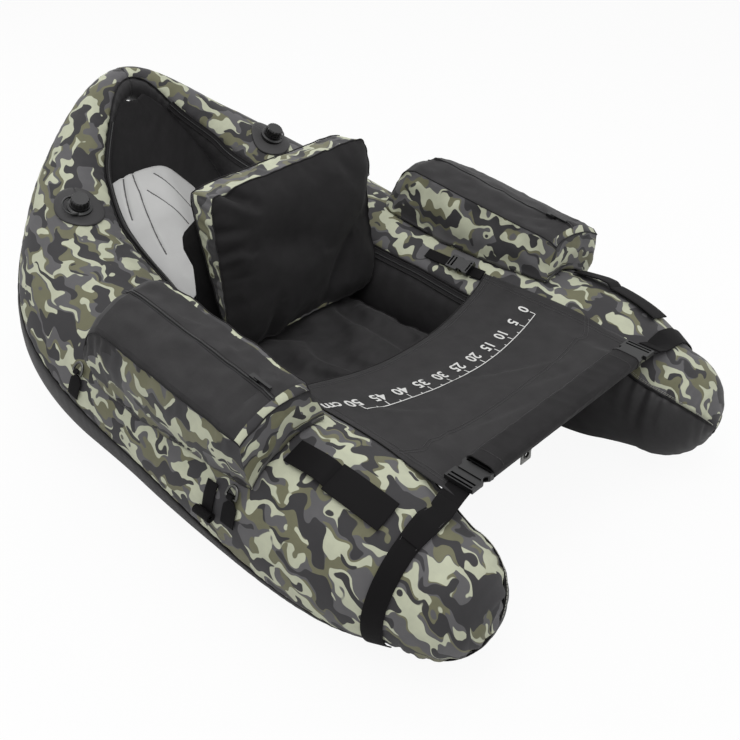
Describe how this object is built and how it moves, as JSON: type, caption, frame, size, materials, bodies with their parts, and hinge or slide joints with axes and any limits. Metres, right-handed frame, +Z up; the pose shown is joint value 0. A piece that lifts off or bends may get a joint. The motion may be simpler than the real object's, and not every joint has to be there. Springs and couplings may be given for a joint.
{
  "type": "float tube",
  "caption": "Inflatable fishing float tube: a raised U-shaped hull under camouflage cloth, with a padded seat and fold-down back, armrest pockets, a front apron and a spreader bar.",
  "frame": {"origin": "middle of the footprint, on the ground under the pontoons", "axes": "+Z up, -Y towards the open end where the angler's legs go, +X to the angler's left"},
  "size_m": [1.1398, 1.4958, 0.642],
  "materials": {
    "camouflage_polyester": "coated polyester pack cloth printed with a four-colour woodland camouflage, matt",
    "black_pvc": "PVC-coated polyester, black, low sheen",
    "black_polyester": "black coated polyester pack cloth, plain weave, matt",
    "grey_coated_cloth": "light grey coated side of the storage cover's cloth",
    "bladder_film": "smooth PVC film bladder inside the covers",
    "black_webbing": "woven polypropylene webbing",
    "black_acetal": "injection-moulded acetal, fine spark texture",
    "grey_webbing": "light grey woven tab",
    "anodised_aluminium": "clear anodised drawn tube",
    "nickel_plate": "nickel-plated steel wire"
  },
  "bodies": {
    "hull": {"upper_cover_left": "camouflage_polyester", "upper_cover_right": "camouflage_polyester", "lower_cover_left": "black_pvc", "lower_cover_right": "black_pvc", "bladder_left": "bladder_film", "bladder_right": "bladder_film", "bladder_zip_left": "black_webbing", "bladder_zip_right": "black_webbing", "seat_cushion": "black_polyester", "seat_sling": "black_polyester", "bay_lining": "black_polyester", "bay_front_wall": "black_polyester", "storage_flap": "grey_coated_cloth", "apron": "black_polyester", "front_sleeve": "black_polyester", "spreader_bar": "anodised_aluminium", "eyelet_tab": "grey_webbing", "eyelet": "nickel_plate", "front_buckle_socket_left": "black_acetal", "front_buckle_socket_right": "black_acetal", "apron_buckle_socket_left": "black_acetal", "apron_buckle_socket_right": "black_acetal", "front_strap_left": "black_webbing", "front_strap_right": "black_webbing", "apron_strap_rear_left": "black_webbing", "apron_strap_rear_right": "black_webbing", "apron_strap_front_left": "black_webbing", "apron_strap_front_right": "black_webbing", "pocket_left": "camouflage_polyester", "pocket_right": "camouflage_polyester", "valve_patch_left": "black_pvc", "valve_patch_right": "black_pvc", "valve_left": "black_acetal", "valve_right": "black_acetal", "front_ring_anchor_left": "black_webbing", "front_ring_anchor_right": "black_webbing", "rear_ring_anchor_left": "black_webbing", "rear_ring_anchor_right": "black_webbing", "rod_patch_left": "black_webbing", "rod_patch_right": "black_webbing"},
    "backrest": {"backrest_cushion": "black_polyester", "backrest_rear_panel": "black_polyester"},
    "pocket_lid_left": {"pocket_flap_left": "black_polyester"},
    "pocket_slider_left": {"pocket_slider_left": "black_acetal"},
    "front_buckle_prongs_left": {"front_buckle_prongs_left": "black_acetal"},
    "apron_buckle_prongs_left": {"apron_buckle_prongs_left": "black_acetal"},
    "valve_cap_left": {"valve_cap_left": "black_acetal"},
    "front_ring_left": {"front_ring_left": "nickel_plate"},
    "rear_ring_left": {"rear_ring_left": "nickel_plate"},
    "carry_handle_left": {"carry_handle_left": "black_webbing"},
    "rod_strap_left": {"rod_strap_left": "black_webbing"},
    "pocket_lid_right": {"pocket_flap_right": "black_polyester"},
    "pocket_slider_right": {"pocket_slider_right": "black_acetal"},
    "front_buckle_prongs_right": {"front_buckle_prongs_right": "black_acetal"},
    "apron_buckle_prongs_right": {"apron_buckle_prongs_right": "black_acetal"},
    "valve_cap_right": {"valve_cap_right": "black_acetal"},
    "front_ring_right": {"front_ring_right": "nickel_plate"},
    "rear_ring_right": {"rear_ring_right": "nickel_plate"},
    "carry_handle_right": {"carry_handle_right": "black_webbing"},
    "rod_strap_right": {"rod_strap_right": "black_webbing"}
  },
  "joints": [
    {"name": "backrest_fold", "type": "hinge", "parent": "hull", "child": "backrest", "pos_m": [0, 0.038, 0.20556], "axis": [1, 0, 0], "range_deg": [0, 75]},
    {"name": "pocket_lid_left_open", "type": "hinge", "parent": "hull", "child": "pocket_lid_left", "pos_m": [0.536, -0.099, 0.41662], "axis": [0, 0.995, 0.1003], "range_deg": [0, 105]},
    {"name": "pocket_slider_left_run", "type": "slide", "parent": "hull", "child": "pocket_slider_left", "axis": [0, 0.9933, 0.1159], "range_m": [0, 0.33]},
    {"name": "front_buckle_left_release", "type": "slide", "parent": "hull", "child": "front_buckle_prongs_left", "axis": [1, 0, 0], "range_m": [0, 0.045]},
    {"name": "apron_buckle_left_release", "type": "slide", "parent": "hull", "child": "apron_buckle_prongs_left", "axis": [0.0044, 1, -0.0079], "range_m": [0, 0.04]},
    {"name": "valve_cap_left_turn", "type": "hinge", "parent": "hull", "child": "valve_cap_left", "pos_m": [0.29202, 0.48373, 0.45634], "axis": [0.0997, -0.4447, 0.8901], "range_deg": [0, 360]},
    {"name": "front_ring_left_swing", "type": "hinge", "parent": "hull", "child": "front_ring_left", "pos_m": [0.53909, -0.29538, 0.24493], "axis": [-0.0122, 0.9995, -0.0308], "range_deg": [0, 150]},
    {"name": "rear_ring_left_swing", "type": "hinge", "parent": "hull", "child": "rear_ring_left", "pos_m": [0.5261, 0.18812, 0.26102], "axis": [-0.0193, 0.9919, 0.1252], "range_deg": [0, 150]},
    {"name": "carry_handle_left_lift", "type": "hinge", "parent": "hull", "child": "carry_handle_left", "pos_m": [0.52972, -0.24005, 0.24188], "axis": [0.0238, -0.9992, 0.0319], "range_deg": [0, 70]},
    {"name": "rod_strap_left_open", "type": "hinge", "parent": "hull", "child": "rod_strap_left", "pos_m": [0.43949, -0.34851, 0.32015], "axis": [-0.9455, 0.0086, 0.3255], "range_deg": [0, 95]},
    {"name": "pocket_lid_right_open", "type": "hinge", "parent": "hull", "child": "pocket_lid_right", "pos_m": [-0.536, -0.099, 0.41662], "axis": [0, -0.995, -0.1003], "range_deg": [0, 105]},
    {"name": "pocket_slider_right_run", "type": "slide", "parent": "hull", "child": "pocket_slider_right", "axis": [0, 0.9933, 0.1159], "range_m": [0, 0.33]},
    {"name": "front_buckle_right_release", "type": "slide", "parent": "hull", "child": "front_buckle_prongs_right", "axis": [-1, 0, 0], "range_m": [0, 0.045]},
    {"name": "apron_buckle_right_release", "type": "slide", "parent": "hull", "child": "apron_buckle_prongs_right", "axis": [-0.0044, 1, -0.0079], "range_m": [0, 0.04]},
    {"name": "valve_cap_right_turn", "type": "hinge", "parent": "hull", "child": "valve_cap_right", "pos_m": [-0.29202, 0.48373, 0.45634], "axis": [-0.0997, -0.4447, 0.8901], "range_deg": [0, 360]},
    {"name": "front_ring_right_swing", "type": "hinge", "parent": "hull", "child": "front_ring_right", "pos_m": [-0.53909, -0.29538, 0.24493], "axis": [-0.0122, -0.9995, 0.0308], "range_deg": [0, 150]},
    {"name": "rear_ring_right_swing", "type": "hinge", "parent": "hull", "child": "rear_ring_right", "pos_m": [-0.5261, 0.18812, 0.26102], "axis": [-0.0193, -0.9919, -0.1252], "range_deg": [0, 150]},
    {"name": "carry_handle_right_lift", "type": "hinge", "parent": "hull", "child": "carry_handle_right", "pos_m": [-0.52972, -0.24005, 0.24188], "axis": [0.0238, 0.9992, -0.0319], "range_deg": [0, 70]},
    {"name": "rod_strap_right_open", "type": "hinge", "parent": "hull", "child": "rod_strap_right", "pos_m": [-0.43949, -0.34851, 0.32015], "axis": [-0.9455, -0.0086, -0.3255], "range_deg": [0, 95]}
  ]
}
